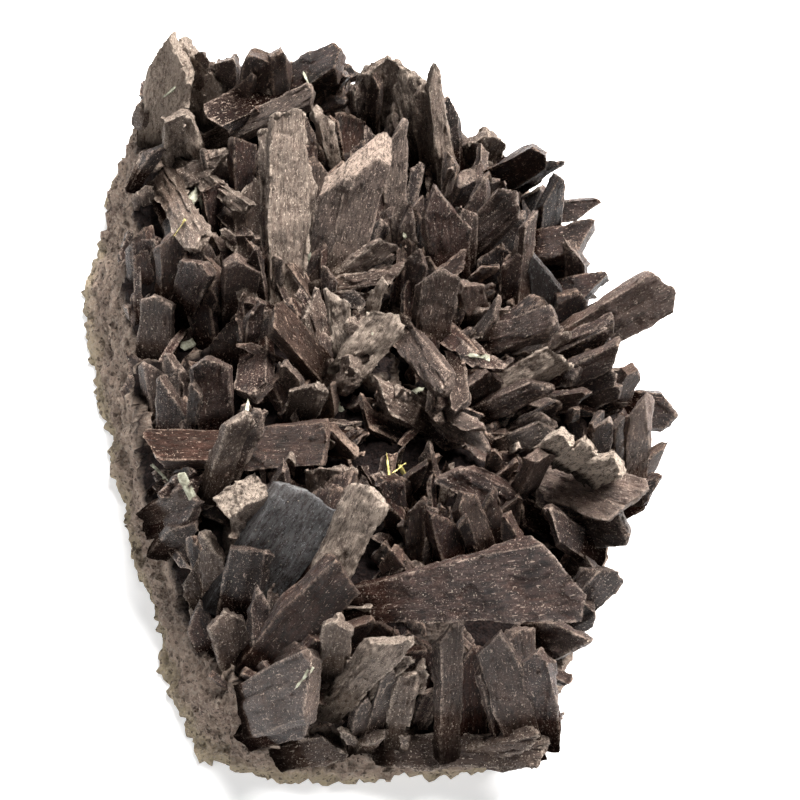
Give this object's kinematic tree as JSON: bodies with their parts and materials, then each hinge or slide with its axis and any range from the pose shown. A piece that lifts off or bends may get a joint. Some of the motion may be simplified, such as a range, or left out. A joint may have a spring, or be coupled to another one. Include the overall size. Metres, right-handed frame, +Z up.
{
  "type": "mineral cluster on rock",
  "caption": "Hand specimen of axinite: a crowded growth of dark brown, flattened, axe-shaped crystals on a broken slab of grey-brown rock.",
  "frame": {"origin": "on the flat underside of the rock, near the middle of the specimen", "axes": "+Z up, +Y along the length of the slab towards its far end in the picture, +X to the right in the picture, the side the crystals lean over"},
  "size_m": [0.0987, 0.1273, 0.0506],
  "materials": {
    "rock": "rough granular broken rock, grey-brown with darker pits, slightly yellow at the foot",
    "dark_crystal": "dark brown to black crystal, glassy in places, fine pale speckle and lines along its length",
    "brown_crystal": "maroon-brown crystal faces, satin, finely lined and speckled, edges worn pale",
    "pale_crystal": "broken beige to pinkish-grey crystal, granular and matt, lined across its length"
  },
  "bodies": {
    "root": {"front_blade": "brown_crystal", "tall_pale_blade": "pale_crystal", "fan_wedges": "brown_crystal", "kite_crystal": "brown_crystal", "mirror_plate": "dark_crystal", "pale_long_plate": "pale_crystal", "pillar": "brown_crystal", "bright_stub": "pale_crystal", "left_bar": "dark_crystal", "centre_bar": "dark_crystal", "arch_crystal": "dark_crystal", "scrappy_plate": "pale_crystal", "centre_plank": "brown_crystal", "grey_blade": "brown_crystal", "grainy_plate": "pale_crystal", "stepped_block": "pale_crystal", "east_paddle": "brown_crystal", "organ_pipes": "dark_crystal", "round_tips": "brown_crystal", "broad_pair": "brown_crystal", "centre_lumps": "brown_crystal", "corner_plate": "pale_crystal", "north_block": "dark_crystal", "north_dome": "brown_crystal", "corner_peak": "pale_crystal", "mid_west_block": "brown_crystal", "west_pair": "dark_crystal", "west_nest": "brown_crystal", "rough_pale_blade": "pale_crystal", "south_east_kite": "dark_crystal", "south_shelf": "brown_crystal", "east_shelf": "dark_crystal", "east_rim": "dark_crystal", "far_block": "brown_crystal", "matrix": "rock"}
  },
  "joints": []
}
